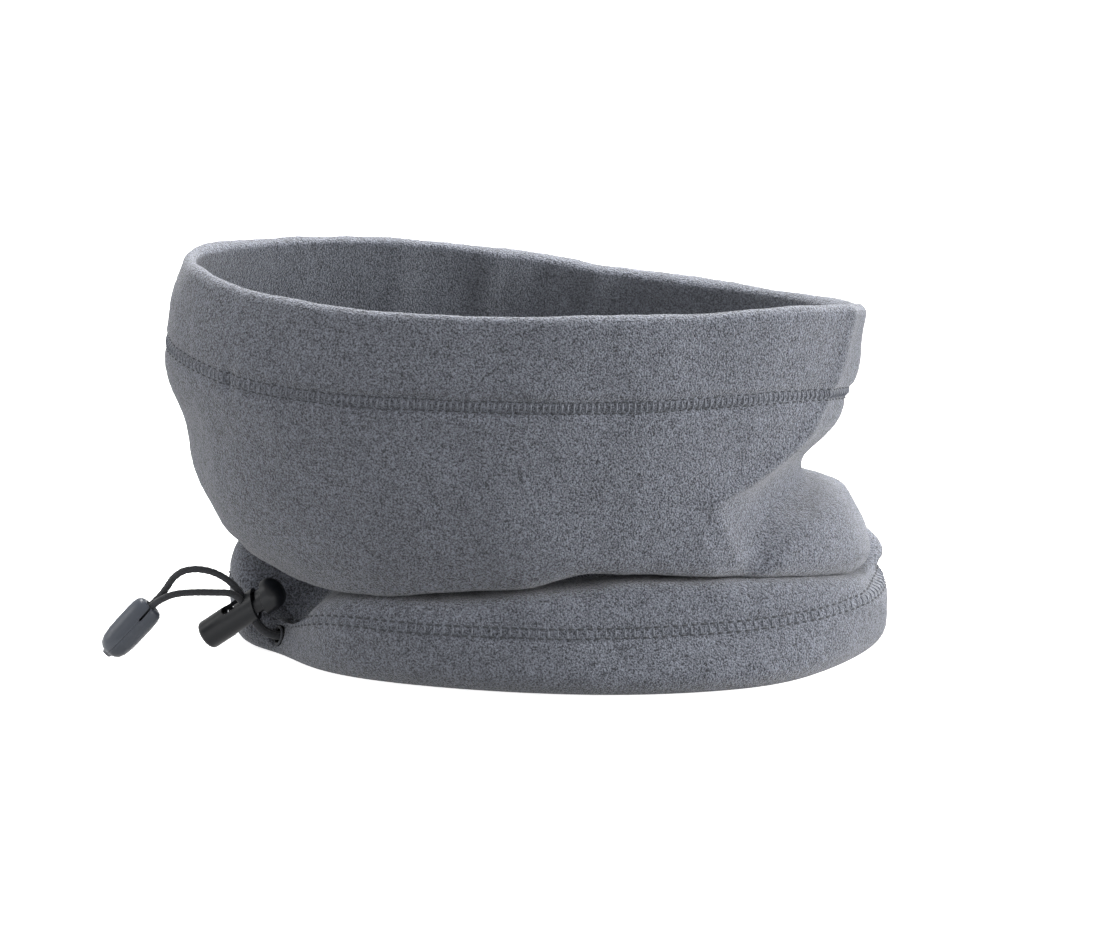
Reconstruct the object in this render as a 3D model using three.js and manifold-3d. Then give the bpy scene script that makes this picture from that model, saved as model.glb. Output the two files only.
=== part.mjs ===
// Fleece neck gaiter, slumped where it stands: a cloth tube with a stitched top hem, a deep fold,
// a drawcord channel round the bottom edge, and a push-button cord lock with a snap-on cord end.
// Millimetres, +Z up, origin under the middle of the fleece on the surface it stands on.
// Angles go round the neck axis: 0 is the wearer's side at +X, 90 the back at +Y, 270 the front.
import * as THREE from "three";
import { mergeVertices } from "three/addons/utils/BufferGeometryUtils.js";
import Module from "manifold-3d";

const wasm = await Module();
wasm.setup();

// ---- Driving dimensions ----
const roundSteps = 48; // steps round the tube
const clothThickness = 2.4;
const facingThickness = 2.1;
const hemGap = 0.9; // between the wall and the turned-in hem
const topHemDepth = 29;
const topStitchDepths = [26.2, 29.8]; // below the top edge
const channelStitchHeights = [21.6, 18.6]; // above the ground
const threadSize = 0.7;
const threadGap = 0.85; // from the cloth to the stitching on it
const seam = { angle: 218, width: 9, thickness: 2, from: 33, to: 74 }; // from and to below the top edge
const footWidth = 8; // the flat bottom fold that the tube stands on
const foldDepth = 16; // how far the fold reaches in from the wall's face
const cordRadius = 1.15;
const channelCord = { out: -9.5, height: 7, drop: 0.55, fromAngle: 213, toAngle: 551 };

// Heights round the tube, each a mean and its waves: mean, cos, sin, cos 2, sin 2, cos 3, sin 3.
const rimWave = [119.2, -8.2, -2.4, 0.7, -3.4, -0.2, -0.4, 0.1, 0.3, -0.5, -0.2];
const foldWave = [30.2, -2.4, -0.5, -1.4, -2.2, -2.2, 1.1];
// Where the fold is lifted above its waves: the angle, how far up, and how wide in degrees.
const foldLifts = [
  { angle: 18, up: 10, wide: 13 },
  { angle: 283, up: 1.5, wide: 9 },
];
const slit = { angle: 275, up: 2.2, wide: 6 }; // a gap under the wall's lip at the front

// Ovals of the wall's outer face: the centre along X and the two half widths.
const rimOval = { x: -0.5, halfX: 110.1, halfY: 62 };
const hemOval = { x: -5.6, halfX: 112.2, halfY: 63.2 };
const middleOval = { x: -3, halfX: 107.5, halfY: 63 };
const bellyOval = { x: 3.2, halfX: 105.6, halfY: 62.5 };
const lipOval = { x: 7.2, halfX: 103.4, halfY: 61.5 };
const rollOval = { x: 9.6, halfX: 108.5, halfY: 62 };

// Local pushes on the wall: the middle's angle and height, how far out (negative is in), and how
// wide in degrees and tall in millimetres.
const pushes = [
  { angle: 2, height: 79, out: -4.6, wide: 20, tall: 9 },
  { angle: 0, height: 104, out: -1, wide: 20, tall: 9 },
  { angle: -12, height: 39, out: 2.4, wide: 24, tall: 8 },
  { angle: 10, height: 27, out: 2.5, wide: 13, tall: 5 },
  { angle: 184, height: 75, out: -3.3, wide: 36, tall: 12 },
  { angle: 180, height: 117, out: 1.6, wide: 25, tall: 9 },
  { angle: 294, height: 3, out: 7, wide: 32, tall: 14 },
  { angle: 310, height: 3, out: 2.5, wide: 14, tall: 12 },
];
// The pocket pressed into the wall at the wearer's side, between a ridge above it and a shelf
// below. It deepens from one angle to the next, stays, and ends. Its valley, its ridge, the height
// of the shelf's slope and the ridge's roundness are each a value and a dip: value, dip, angle, wide.
const pocket = {
  depth: 15, from: -60, full: -8, level: 30, to: 62,
  valley: [59, -16, -58, 14],
  ridge: [81, -20, -58, 22],
  shelf: [7.4, 4, -55, 25],
  roundness: [1.3, 1, 5, 28],
};
// The hollow in the roll where the cord lock sits.
const hollow = { angle: 207, wide: 14.5, in: 11, footIn: 5, drop: 0.68 };

// Levels are 2 at the top edge, 1 at the fold and 0 at the ground; above adds millimetres, and
// lip is the share of the slit that lifts the station.
// Stations of the upper wall's outer face, from the top edge down into the fold.
const upperStations = [
  { oval: rimOval, out: -0.6, level: 2 },
  { oval: hemOval, out: 0, level: 1.64 },
  { oval: middleOval, out: 0, level: 1.3 },
  { oval: bellyOval, out: 0, level: 1.12 },
  { oval: lipOval, out: 0, level: 1, above: 5.5, lip: 0.6 },
  { oval: lipOval, out: -1.8, level: 1, above: 2.6, lip: 1 },
  { oval: lipOval, out: -7, level: 1, above: 1.4, lip: 1 },
  { oval: lipOval, out: -foldDepth, level: 1, above: 0.9 },
];
// Stations of the roll's outer face, from the fold down to the foot. drop is the share of the
// hollow's drop that lowers the station.
const lowerStations = [
  { oval: lipOval, out: -foldDepth, level: 1, above: -0.9 },
  { oval: rollOval, out: -8, level: 1, above: -1.6, drop: 0.5 },
  { oval: rollOval, out: -3, level: 1, above: -3.6, drop: 0.8 },
  { oval: rollOval, out: -0.6, level: 0.75, drop: 0.75 },
  { oval: rollOval, out: 0, level: 0.42, drop: 0.4 },
  { oval: rollOval, out: -1, level: 0.14 },
  { oval: rollOval, out: -4.5, level: 0 },
  { oval: rollOval, out: -4.5 - footWidth, level: 0 },
];
// Stations of the channel facing, from the foot up to the stitching.
const facingStations = [
  { oval: rollOval, out: -14, level: 0, above: 1.6 },
  { oval: rollOval, out: -15.6, level: 0.2, drop: 0.2 },
  { oval: rollOval, out: -12.6, level: 0.42, drop: 0.68 },
  { oval: rollOval, out: -8.8, level: 0.57, drop: 0.82 },
  { oval: rollOval, out: -6, level: 0.67, drop: 0.87 },
];

// Cord lock, with its axis from the barrel's closed end to the button.
const lockEnd = new THREE.Vector3(-104.8, -19.5, 5.7);
const lockAxis = new THREE.Vector3(23.1, -4, 16.5).normalize();
const barrel = { radius: 4.9, bore: 3.9, length: 20.8, floor: 2.6, edge: 1.1, rimSlope: 0.35 };
const barrelWindow = { from: 9.6, to: 19.3, width: 5.9, corner: 1.6 };
const crossHole = { turn: 15, slope: 0.15 }; // the way the cord crosses the lock
const plunger = { radius: 3.5, from: 14.4 };
const plungerSlot = { from: 16, to: 22.4, width: 5.5, corner: 0.7 };
const button = { radius: 5.3, from: 24.6, shoulder: 27.4, to: 31.4 };
const spring = { from: 3.2, to: 13.8, radius: 3, wire: 0.32, turns: 5 };

// Where the cord leaves the channel: a bound hole through the roll.
const exitHole = { centre: [-80.6, -19.6, 5.8], axis: [0.88, 0.4, -0.25], radius: 3.5, bound: 2.85 };

// Routes of the cord's two ends, from the channel to the lock and from the lock to the cord end.
const strandRoutes = {
  exit_strand_near: [
    [-71.2, -20.9, 4.3], [-73.2, -19.8, 4.1], [-75.6, -19.7, 4.2], [-78.3, -20.2, 5],
    [-80.1, -20.8, 5.8], [-82, -21.7, 6.4], [-85, -22.6, 7.8], [-87.6, -22.8, 10.3],
    [-89.2, -22.8, 12.9], [-90.65, -23.15, 15.3],
  ],
  exit_strand_far: [
    [-84.9, -8.9, 6.1], [-83.2, -11.1, 6], [-80.6, -13.1, 5.7], [-79, -15.3, 5.3],
    [-79.3, -17.6, 5.3], [-81.1, -18.4, 5.8], [-83.1, -19.3, 6.4], [-85.8, -20, 8.2],
    [-87.9, -20.1, 10.8], [-89.3, -20.2, 13.5], [-90.6, -20.6, 15.85],
  ],
  loop_strand_near: [
    [-90.8, -23.25, 15.7], [-92.1, -23.7, 18.1], [-93.9, -24.4, 20.6], [-96.6, -25.1, 22],
    [-100.5, -25.8, 22.4], [-105, -26.6, 22.7], [-109.5, -27.6, 22.9], [-113.5, -29, 22.8],
    [-116.6, -30.3, 22], [-119.5, -30.9, 20.4], [-121.8, -31.15, 18.2], [-123.8, -31.4, 16.1],
    [-125.7, -31.6, 14.1],
  ],
  loop_strand_far: [
    [-90.8, -20.7, 16.25], [-92.1, -21.2, 18.65], [-93.6, -21.9, 21.6], [-95.8, -22.7, 24.6],
    [-98.8, -23.5, 27.2], [-102.5, -24.2, 29.1], [-107.2, -25, 30], [-111.3, -25.8, 29.4],
    [-114.2, -26.4, 27.3], [-116.1, -26.9, 24.6], [-118.3, -27.8, 21.9], [-121.1, -28.4, 19.1],
    [-123.4, -28.7, 16.6], [-125.7, -29, 14.2],
  ],
};

// Cord end: two halves of a hollow lozenge round the knot.
const cordEndTop = new THREE.Vector3(-120.9, -29.7, 19.4);
const cordEndTip = new THREE.Vector3(-136, -31.4, 3.3);
const cordEnd = { halfWidth: 5.3, halfDepth: 4.3, split: 0.3, mouthX: 2, mouthY: 3.1 };
const cordEndCavity = { halfX: 3.4, halfY: 3.2, from: 3, to: 14.5 };
const knot = { radius: 2.4, at: 10.6 };

// ---- Colours and finishes ----
const finish = (color, roughness, metalness = 0) => ({ color, roughness, metalness });
const fleece = finish(0x63676e, 0.95);
const fleeceInside = finish(0x5b5f66, 0.95);
const thread = finish(0x50545b, 0.8);
const braid = finish(0x26282c, 0.75);
const blackPlastic = finish(0x2f3237, 0.45);
const greyPlastic = finish(0x5d6167, 0.4);
const springSteel = finish(0xb8babd, 0.3, 1);

// ---- Small helpers ----
const { atan2, cos, exp, hypot, max, min, PI, sin } = Math;
const radians = (degrees) => (degrees * PI) / 180;
const mix = (a, b, share) => a + (b - a) * share;
const vector = (coordinates) => new THREE.Vector3(...coordinates);

function wave(angle, [mean, ...amounts]) {
  const turns = amounts.map((_, i) => angle * (1 + Math.floor(i / 2)));
  return amounts.reduce((sum, a, i) => sum + a * (i % 2 ? sin(turns[i]) : cos(turns[i])), mean);
}

// A bell from 0 to 1: how near an angle is to a place in degrees.
function nearness(angle, place, wide) {
  const apart = angle - radians(place);
  return exp(-((atan2(sin(apart), cos(apart)) / radians(wide)) ** 2));
}

// ---- The cloth's outer face ----
const rimHeight = (angle) => wave(angle, rimWave);
const foldHeight = (angle) =>
  foldLifts.reduce((sum, l) => sum + l.up * nearness(angle, l.angle, l.wide), wave(angle, foldWave));
const inHollow = (angle) => nearness(angle, hollow.angle, hollow.wide);

function levelHeight(angle, level) {
  const fold = foldHeight(angle);
  return level > 1 ? mix(fold, rimHeight(angle), level - 1) : fold * level;
}

// How deep the pocket is pressed in at an angle and a height.
function pocketDepth(angle, height) {
  const degrees = (atan2(sin(angle), cos(angle)) * 180) / PI;
  const { depth, from, full, level, to } = pocket;
  const starting = max(0, min(1, (degrees - from) / (full - from)));
  const ending = max(0, min(1, (degrees - level) / (to - level)));
  const along = sin((starting * PI) / 2) * (1 - ending * ending * (3 - 2 * ending));
  const dipped = ([value, dip, place, wide]) => value + dip * nearness(angle, place, wide);
  const valley = dipped(pocket.valley);
  const above = max(0, min(1, (dipped(pocket.ridge) - height) / (dipped(pocket.ridge) - valley)));
  const below = max(0, valley - height) / dipped(pocket.shelf);
  return depth * along * sin((above * PI) / 2) ** dipped(pocket.roundness) * exp(-(below ** 4));
}

// Moves a point of the cloth in or out by the pocket and the soft pushes.
function push(angle, point) {
  const pushed = pushes.reduce((sum, p) => {
    const near = nearness(angle, p.angle, p.wide) * exp(-(((point.z - p.height) / p.tall) ** 2));
    return sum + p.out * near;
  }, -pocketDepth(angle, point.z));
  const way = new THREE.Vector3(cos(angle) / bellyOval.halfX, sin(angle) / bellyOval.halfY, 0);
  return point.addScaledVector(way.normalize(), pushed);
}

// A point of the cloth: on an oval, set out from it, at a height.
function clothPoint(angle, oval, out, height) {
  const slopeX = cos(angle) / oval.halfX;
  const slopeY = sin(angle) / oval.halfY;
  const fold = foldHeight(angle);
  const underFold = max(0, min(1, (fold + 3 - height) / 6));
  const inwards = mix(hollow.footIn, hollow.in, min(1, height / 9));
  const reach = (out - inwards * inHollow(angle) * underFold) / hypot(slopeX, slopeY);
  return new THREE.Vector3(
    oval.x + oval.halfX * cos(angle) + slopeX * reach,
    oval.halfY * sin(angle) + slopeY * reach,
    height,
  );
}

function stationPoint(angle, { oval, out, level, above = 0, drop = 0, lip = 0 }) {
  const lifted = lip * slit.up * nearness(angle, slit.angle, slit.wide);
  const height = levelHeight(angle, level) + above + lifted;
  return clothPoint(angle, oval, out, height * (1 - hollow.drop * drop * inHollow(angle)));
}

const uprightLine = (angle, stations) =>
  new THREE.CatmullRomCurve3(stations.map((s) => stationPoint(angle, s)), false, "centripetal");

// A point of the cloth's face at a share of the way down its upright line, set out along the
// face's normal. No part of the cloth goes below the ground.
function facePoint(angle, stations, share, out) {
  const beside = 0.01;
  const point = (turn, way) => push(turn, uprightLine(turn, stations).getPoint(way));
  const down = point(angle, min(1, share + beside)).sub(point(angle, max(0, share - beside)));
  const round = point(angle + beside, share).sub(point(angle - beside, share));
  const spot = point(angle, share);
  spot.z = max(spot.z, 0);
  return spot.addScaledVector(down.cross(round).normalize(), out);
}

// The share of the way down an upright line where it passes a height.
function shareAtHeight(angle, stations, height, low, high) {
  const line = uprightLine(angle, stations);
  let [above, below] = [low, high];
  for (let i = 0; i < 20; i++) {
    const middle = (above + below) / 2;
    if (line.getPoint(middle).z > height) above = middle;
    else below = middle;
  }
  return above;
}

// ---- Solids ----
// A closed ring from one section at each step round.
function ringGeometry(sections) {
  const count = sections[0].length;
  const index = sections.flatMap((section, step) => {
    const here = step * count;
    const next = ((step + 1) % sections.length) * count;
    return section.flatMap((_, i) => {
      const j = (i + 1) % count;
      return [here + i, here + j, next + i, next + i, here + j, next + j];
    });
  });
  const geometry = new THREE.BufferGeometry();
  const positions = sections.flat().flatMap((p) => p.toArray());
  geometry.setAttribute("position", new THREE.Float32BufferAttribute(positions, 3));
  return geometry.setIndex(index);
}

const anglesRound = Array.from({ length: roundSteps }, (_, i) => (2 * PI * i) / roundSteps);

// A layer of cloth all the way round, between two depths behind the face. shares gives the
// shares of the way down at an angle.
function clothLayer(stations, shares, outer, inner) {
  return ringGeometry(
    anglesRound.map((angle) => {
      const down = shares(angle);
      const face = down.map((share) => facePoint(angle, stations, share, -outer));
      const back = down.map((share) => facePoint(angle, stations, share, -inner));
      return [...face, ...back.reverse()];
    }),
  );
}

const evenShares = (from, to, rows) =>
  Array.from({ length: rows + 1 }, (_, i) => mix(from, to, i / rows));

// One row of stitching that lies on the cloth's face at a height.
function stitchRing(stations, heightAt, low, high) {
  return ringGeometry(
    anglesRound.map((angle) => {
      const share = shareAtHeight(angle, stations, heightAt(angle), low, high);
      const near = facePoint(angle, stations, share, threadGap);
      const far = facePoint(angle, stations, share, threadGap + threadSize);
      const half = new THREE.Vector3(0, 0, threadSize / 2);
      return [far, near.clone().sub(half), near.clone().add(half)];
    }),
  );
}

function circleShape(radius, sides) {
  const corners = Array.from({ length: sides }, (_, i) => {
    const turn = (2 * PI * i) / sides;
    return new THREE.Vector2(radius * cos(turn), radius * sin(turn));
  });
  return new THREE.Shape(corners);
}

function tubeGeometry(curve, radius, steps, sides) {
  const options = { steps, bevelEnabled: false, extrudePath: curve };
  return new THREE.ExtrudeGeometry(circleShape(radius, sides), options);
}

// A round solid from its outline of [radius, height] points, turned about Z.
function turned(outline, sides) {
  const points = outline.map(([radius, height]) => new THREE.Vector2(radius, height));
  return new THREE.LatheGeometry(points, sides).rotateX(PI / 2);
}

function toManifold(geometry) {
  const bare = geometry.clone();
  bare.deleteAttribute("normal");
  bare.deleteAttribute("uv");
  const merged = mergeVertices(bare, 1e-4);
  const made = new wasm.Manifold(
    new wasm.Mesh({
      numProp: 3,
      vertProperties: merged.attributes.position.array,
      triVerts: new Uint32Array(merged.index.array),
    }),
  );
  return made;
}

function fromManifold(made) {
  const { numProp, vertProperties, triVerts } = made.getMesh();
  const positions = new Float32Array((vertProperties.length / numProp) * 3);
  for (let i = 0; i < positions.length / 3; i++) {
    positions.set(vertProperties.subarray(i * numProp, i * numProp + 3), i * 3);
  }
  const geometry = new THREE.BufferGeometry();
  geometry.setAttribute("position", new THREE.BufferAttribute(positions, 3));
  return geometry.setIndex(new THREE.BufferAttribute(triVerts, 1));
}

const cut = (geometry, ...tools) =>
  fromManifold(tools.reduce((left, tool) => left.subtract(toManifold(tool)), toManifold(geometry)));
const join = (...pieces) =>
  fromManifold(pieces.map(toManifold).reduce((joined, piece) => joined.add(piece)));

// The turn that takes +Z to a direction, with +X kept as near as can be to another.
function frameAlong(direction, sideways) {
  const z = direction.clone().normalize();
  const x = sideways.clone().addScaledVector(z, -sideways.dot(z)).normalize();
  return new THREE.Matrix4().makeBasis(x, z.clone().cross(x), z);
}

const gaiter = new THREE.Group();

function addPiece(name, geometry, look, parent = gaiter) {
  const shaded = geometry.index ? geometry.toNonIndexed() : geometry;
  shaded.computeVertexNormals();
  const mesh = new THREE.Mesh(shaded, new THREE.MeshStandardMaterial(look));
  mesh.name = name;
  parent.add(mesh);
}

// ---- Cloth ----
const upperRows = 3 * (upperStations.length - 1);
const lowerRows = 2 * (lowerStations.length - 1);
const behindWall = clothThickness + hemGap;
const shareAtDepth = (angle, depth) =>
  shareAtHeight(angle, upperStations, rimHeight(angle) - depth, 0, 0.55);

addPiece(
  "upper_wall",
  clothLayer(upperStations, () => evenShares(0, 1, upperRows), 0, clothThickness),
  fleece,
);

// A round cutter through the roll, along the cord's way out of the channel.
function exitCylinder(radius, length) {
  const cylinder = new THREE.CylinderGeometry(radius, radius, length, 16).rotateX(PI / 2);
  const turn = frameAlong(vector(exitHole.axis), new THREE.Vector3(0, 0, 1));
  return cylinder.applyMatrix4(turn.setPosition(vector(exitHole.centre)));
}

const uncutRoll = clothLayer(lowerStations, () => evenShares(0, 1, lowerRows), 0, clothThickness);
addPiece("lower_wall", cut(uncutRoll, exitCylinder(exitHole.radius, 7)), fleece);

addPiece(
  "top_hem_facing",
  clothLayer(
    upperStations,
    (angle) => evenShares(0.004, shareAtDepth(angle, topHemDepth), 4),
    behindWall,
    behindWall + facingThickness,
  ),
  fleeceInside,
);
addPiece(
  "channel_facing",
  ringGeometry(
    anglesRound.map((angle) => {
      const shares = evenShares(0, 1, 5);
      const face = shares.map((share) => facePoint(angle, facingStations, share, 0));
      const back = shares.map((share) => facePoint(angle, facingStations, share, facingThickness));
      return [...face.reverse(), ...back];
    }),
  ),
  fleeceInside,
);

// The seam's allowance: a strip down the inside of the tube, between the hem and the fold.
function seamGeometry() {
  const halfTurn = seam.width / 2 / 85;
  const depths = evenShares(seam.from, seam.to, 6);
  const strip = [-halfTurn, 0, halfTurn].map((turn) => {
    const angle = radians(seam.angle) + turn;
    const shares = depths.map((depth) => shareAtDepth(angle, depth));
    const face = shares.map((share) => facePoint(angle, upperStations, share, -behindWall));
    const back = shares.map((share) =>
      facePoint(angle, upperStations, share, -behindWall - seam.thickness),
    );
    return [...face, ...back.reverse()];
  });
  return cappedStrip(strip);
}

// A closed solid from sections in a row, with a flat cap on the first and the last. Each section
// goes down one face and back up the other.
function cappedStrip(sections) {
  const count = sections[0].length;
  const index = [];
  for (let step = 0; step + 1 < sections.length; step++) {
    for (let i = 0; i < count; i++) {
      const j = (i + 1) % count;
      const [here, next] = [step * count, (step + 1) * count];
      index.push(here + i, here + j, next + i, next + i, here + j, next + j);
    }
  }
  const end = (sections.length - 1) * count;
  for (let i = 0; i < count / 2 - 1; i++) {
    const [a, b, c, d] = [i, i + 1, count - 2 - i, count - 1 - i];
    index.push(a, c, b, a, d, c);
    index.push(end + a, end + b, end + c, end + a, end + c, end + d);
  }
  const geometry = new THREE.BufferGeometry();
  const positions = sections.flat().flatMap((p) => p.toArray());
  geometry.setAttribute("position", new THREE.Float32BufferAttribute(positions, 3));
  return geometry.setIndex(index);
}
addPiece("side_seam", seamGeometry(), fleeceInside);

// ---- Stitching ----
topStitchDepths.forEach((depth, i) => {
  const heightAt = (angle) => rimHeight(angle) - depth;
  const row = ["upper", "lower"][i];
  addPiece(`top_stitch_${row}`, stitchRing(upperStations, heightAt, 0, 0.55), thread);
});
channelStitchHeights.forEach((height, i) => {
  const squash = (angle) => 1 - hollow.drop * 0.7 * inHollow(angle);
  const heightAt = (angle) => height * squash(angle);
  const row = ["upper", "lower"][i];
  addPiece(`channel_stitch_${row}`, stitchRing(lowerStations, heightAt, 0.3, 0.8), thread);
});

// ---- Drawcord ----
function channelRoute() {
  const { out, height, drop, fromAngle, toAngle } = channelCord;
  const spots = evenShares(radians(fromAngle), radians(toAngle), 40).map((angle) =>
    push(angle, stationPoint(angle, { oval: rollOval, out, level: 0, above: height, drop })),
  );
  return new THREE.CatmullRomCurve3(spots);
}
addPiece("drawcord", tubeGeometry(channelRoute(), cordRadius, 72, 8), braid);

for (const [name, route] of Object.entries(strandRoutes)) {
  const curve = new THREE.CatmullRomCurve3(route.map(vector));
  addPiece(name, tubeGeometry(curve, cordRadius, route.length + 3, 8), braid);
}

const bindingTube = cut(exitCylinder(exitHole.radius - 0.3, 2.2), exitCylinder(exitHole.bound, 5));
addPiece("cord_exit_binding", bindingTube, thread);

// ---- Cord lock, built along +Z from its closed end, with +X as its upper side ----
const lock = new THREE.Group();
lock.applyMatrix4(frameAlong(lockAxis, new THREE.Vector3(0, 0, 1)).setPosition(lockEnd));
gaiter.add(lock);

// A block that cuts away everything beyond the slanted plane at a height on the axis.
function slantedBlock(height, side) {
  const size = 40;
  const block = new THREE.BoxGeometry(size, size, size).translate(0, 0, (side * size) / 2);
  const slant = new THREE.Matrix4().makeShear(0, barrel.rimSlope, 0, 0, 0, 0);
  return block.applyMatrix4(slant).translate(0, 0, height);
}

// A flat-sided slot through the lock along the cord's way, between two heights on the axis.
function crossSlot({ from, to, width, corner }) {
  const shape = new THREE.Shape();
  const side = width / 2 - corner;
  shape.absarc(side, from + corner, corner, -PI / 2, 0);
  shape.absarc(side, to - corner, corner, 0, PI / 2);
  shape.absarc(-side, to - corner, corner, PI / 2, PI);
  shape.absarc(-side, from + corner, corner, PI, 1.5 * PI);
  const slot = new THREE.ExtrudeGeometry(shape, { depth: 16, bevelEnabled: false, curveSegments: 4 });
  slot.translate(0, 0, -8).rotateX(PI / 2).rotateZ(PI / 2);
  slot.applyMatrix4(new THREE.Matrix4().makeShear(0, crossHole.slope, 0, 0, 0, 0));
  return slot.rotateZ(radians(crossHole.turn));
}

function barrelGeometry() {
  const { radius, bore, length, floor, edge } = barrel;
  const over = length + 4;
  const outline = [[0, 0], [radius - edge, 0], [radius - edge * 0.3, edge * 0.3], [radius, edge]];
  outline.push([radius, over], [bore, over], [bore, floor], [0, floor]);
  return cut(turned(outline, 28), slantedBlock(length, 1), crossSlot(barrelWindow));
}
addPiece("lock_barrel", barrelGeometry(), blackPlastic, lock);

function plungerGeometry() {
  const { radius, from } = plunger;
  const stem = turned([[0, from], [radius, from], [radius, button.shoulder], [0, button.shoulder]], 20);
  const dome = [[0, button.from - 3], [button.radius, button.from - 3]];
  const height = button.to - button.shoulder;
  for (let i = 0; i <= 5; i++) {
    const turn = (i / 5) * (PI / 2);
    dome.push([button.radius * cos(turn), button.shoulder + height * sin(turn)]);
  }
  dome[dome.length - 1][0] = 0;
  const head = cut(turned(dome, 28), slantedBlock(button.from, -1));
  return cut(join(stem, head), crossSlot(plungerSlot));
}
addPiece("lock_plunger", plungerGeometry(), blackPlastic, lock);

function springGeometry() {
  const { from, to, radius, wire, turns } = spring;
  const steps = turns * 8;
  const spots = evenShares(0, 1, steps).map((share) => {
    const turn = 2 * PI * turns * share;
    return new THREE.Vector3(radius * cos(turn), radius * sin(turn), mix(from, to, share));
  });
  return tubeGeometry(new THREE.CatmullRomCurve3(spots), wire, steps, 5);
}
addPiece("lock_spring", springGeometry(), springSteel, lock);

// ---- Cord end, built along +Z from its mouth, with +Y towards the front ----
const end = new THREE.Group();
const endDirection = cordEndTip.clone().sub(cordEndTop);
const endLength = endDirection.length();
const endTurn = frameAlong(endDirection, new THREE.Vector3(0.7, 0, -0.7));
end.applyMatrix4(endTurn.setPosition(cordEndTop));
gaiter.add(end);

// The cord end's outline as shares of its half width and its length.
const lozenge = [
  [0, 0], [0.5, 0], [0.74, 0.015], [0.9, 0.06], [0.98, 0.14], [1, 0.3], [0.98, 0.66], [0.9, 0.8],
  [0.74, 0.89], [0.52, 0.935], [0.34, 0.95], [0.28, 0.99], [0, 1],
];

function cordEndHalf(side) {
  const { halfWidth, halfDepth, split, mouthX, mouthY } = cordEnd;
  const whole = turned(lozenge.map(([share, along]) => [share, along * endLength]), 24);
  whole.scale(halfWidth, halfDepth, 1);
  const { halfX, halfY, from, to } = cordEndCavity;
  const cavity = turned([[0, from - 0.5], [1, from + 1], [1, to - 2], [0, to]], 16);
  cavity.scale(halfX, halfY, 1);
  const mouth = turned([[0, -2], [1, -2], [1, from + 3], [0, from + 3]], 16);
  mouth.scale(mouthX, mouthY, 1);
  const other = new THREE.BoxGeometry(20, 20, 60).translate(side * (split / 2 - 10), 0, 0);
  return cut(whole, cavity, mouth, other);
}
addPiece("cord_end_upper", cordEndHalf(-1), greyPlastic, end);
addPiece("cord_end_lower", cordEndHalf(1), greyPlastic, end);

const knotGeometry = new THREE.SphereGeometry(knot.radius, 12, 8).scale(1, 1.15, 0.9);
addPiece("cord_knot", knotGeometry.translate(0, 0, knot.at), braid, end);

export default gaiter;
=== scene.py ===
"""Looks of the fleece neck gaiter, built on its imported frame.

Metres, +Z up, the frame's own origin. Angles go round the neck axis: 0 is the wearer's side at +X,
90 degrees the back at +Y and 270 the front. Depth is measured along the cloth from its top edge.
"""

import math

import bpy
import numpy as np
from mathutils import Matrix, Vector, noise


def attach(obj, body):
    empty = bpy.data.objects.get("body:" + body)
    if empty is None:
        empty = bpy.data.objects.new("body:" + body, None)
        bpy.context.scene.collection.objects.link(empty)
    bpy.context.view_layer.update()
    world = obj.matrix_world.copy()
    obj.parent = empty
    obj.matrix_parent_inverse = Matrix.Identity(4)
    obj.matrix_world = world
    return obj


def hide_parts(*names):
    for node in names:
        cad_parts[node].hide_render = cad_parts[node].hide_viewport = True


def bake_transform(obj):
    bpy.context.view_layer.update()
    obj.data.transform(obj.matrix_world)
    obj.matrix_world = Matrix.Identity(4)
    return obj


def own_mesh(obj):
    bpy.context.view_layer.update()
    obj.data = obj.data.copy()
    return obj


# ---- The cloth tube, with the same dimensions as the frame ----
STEPS_ROUND = 500
ROW_SPACING = 0.00135
HEM_ROW_SPACING = ROW_SPACING * 1.5
BACK_ROWS = 1 / 3  # rows on the hidden side of the cloth, as a share of those on its face
CLOTH_THICKNESS = 0.0023
HEM_DEPTH = 0.029
RIM_FOLD = 0.0054  # from the wall's face to the turned-in hem's face
TOP_STITCH_DEPTHS = (0.0262, 0.0298)
CHANNEL_STITCH_HEIGHTS = (0.0216, 0.0186)
SEAM_ANGLE = 218  # where the tube's upright seam is, and where the top stitching starts and ends
FOOT_WIDTH = 0.008
FOLD_DEPTH = 0.016

# Heights round the tube, each a mean and its waves: mean, cos, sin, cos 2, sin 2 and so on.
RIM_WAVE = (
    0.1192, -0.0082, -0.0024, 0.0007, -0.0034, -0.0002, -0.0004, 0.0001, 0.0003, -0.0005, -0.0002,
)
FOLD_WAVE = (0.0302, -0.0024, -0.0005, -0.0014, -0.0022, -0.0022, 0.0011)
FOLD_LIFTS = ((18, 0.010, 13), (283, 0.0015, 9))  # angle, how far up, how wide in degrees
SLIT = {"angle": 275, "up": 0.0022, "wide": 6}  # a gap under the wall's lip at the front

# Ovals of the wall's outer face: the centre along X and the two half widths.
RIM_OVAL = (-0.0005, 0.1101, 0.0620)
HEM_OVAL = (-0.0056, 0.1122, 0.0632)
MIDDLE_OVAL = (-0.0030, 0.1075, 0.0630)
BELLY_OVAL = (0.0032, 0.1056, 0.0625)
LIP_OVAL = (0.0072, 0.1034, 0.0615)
ROLL_OVAL = (0.0096, 0.1085, 0.0620)

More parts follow.
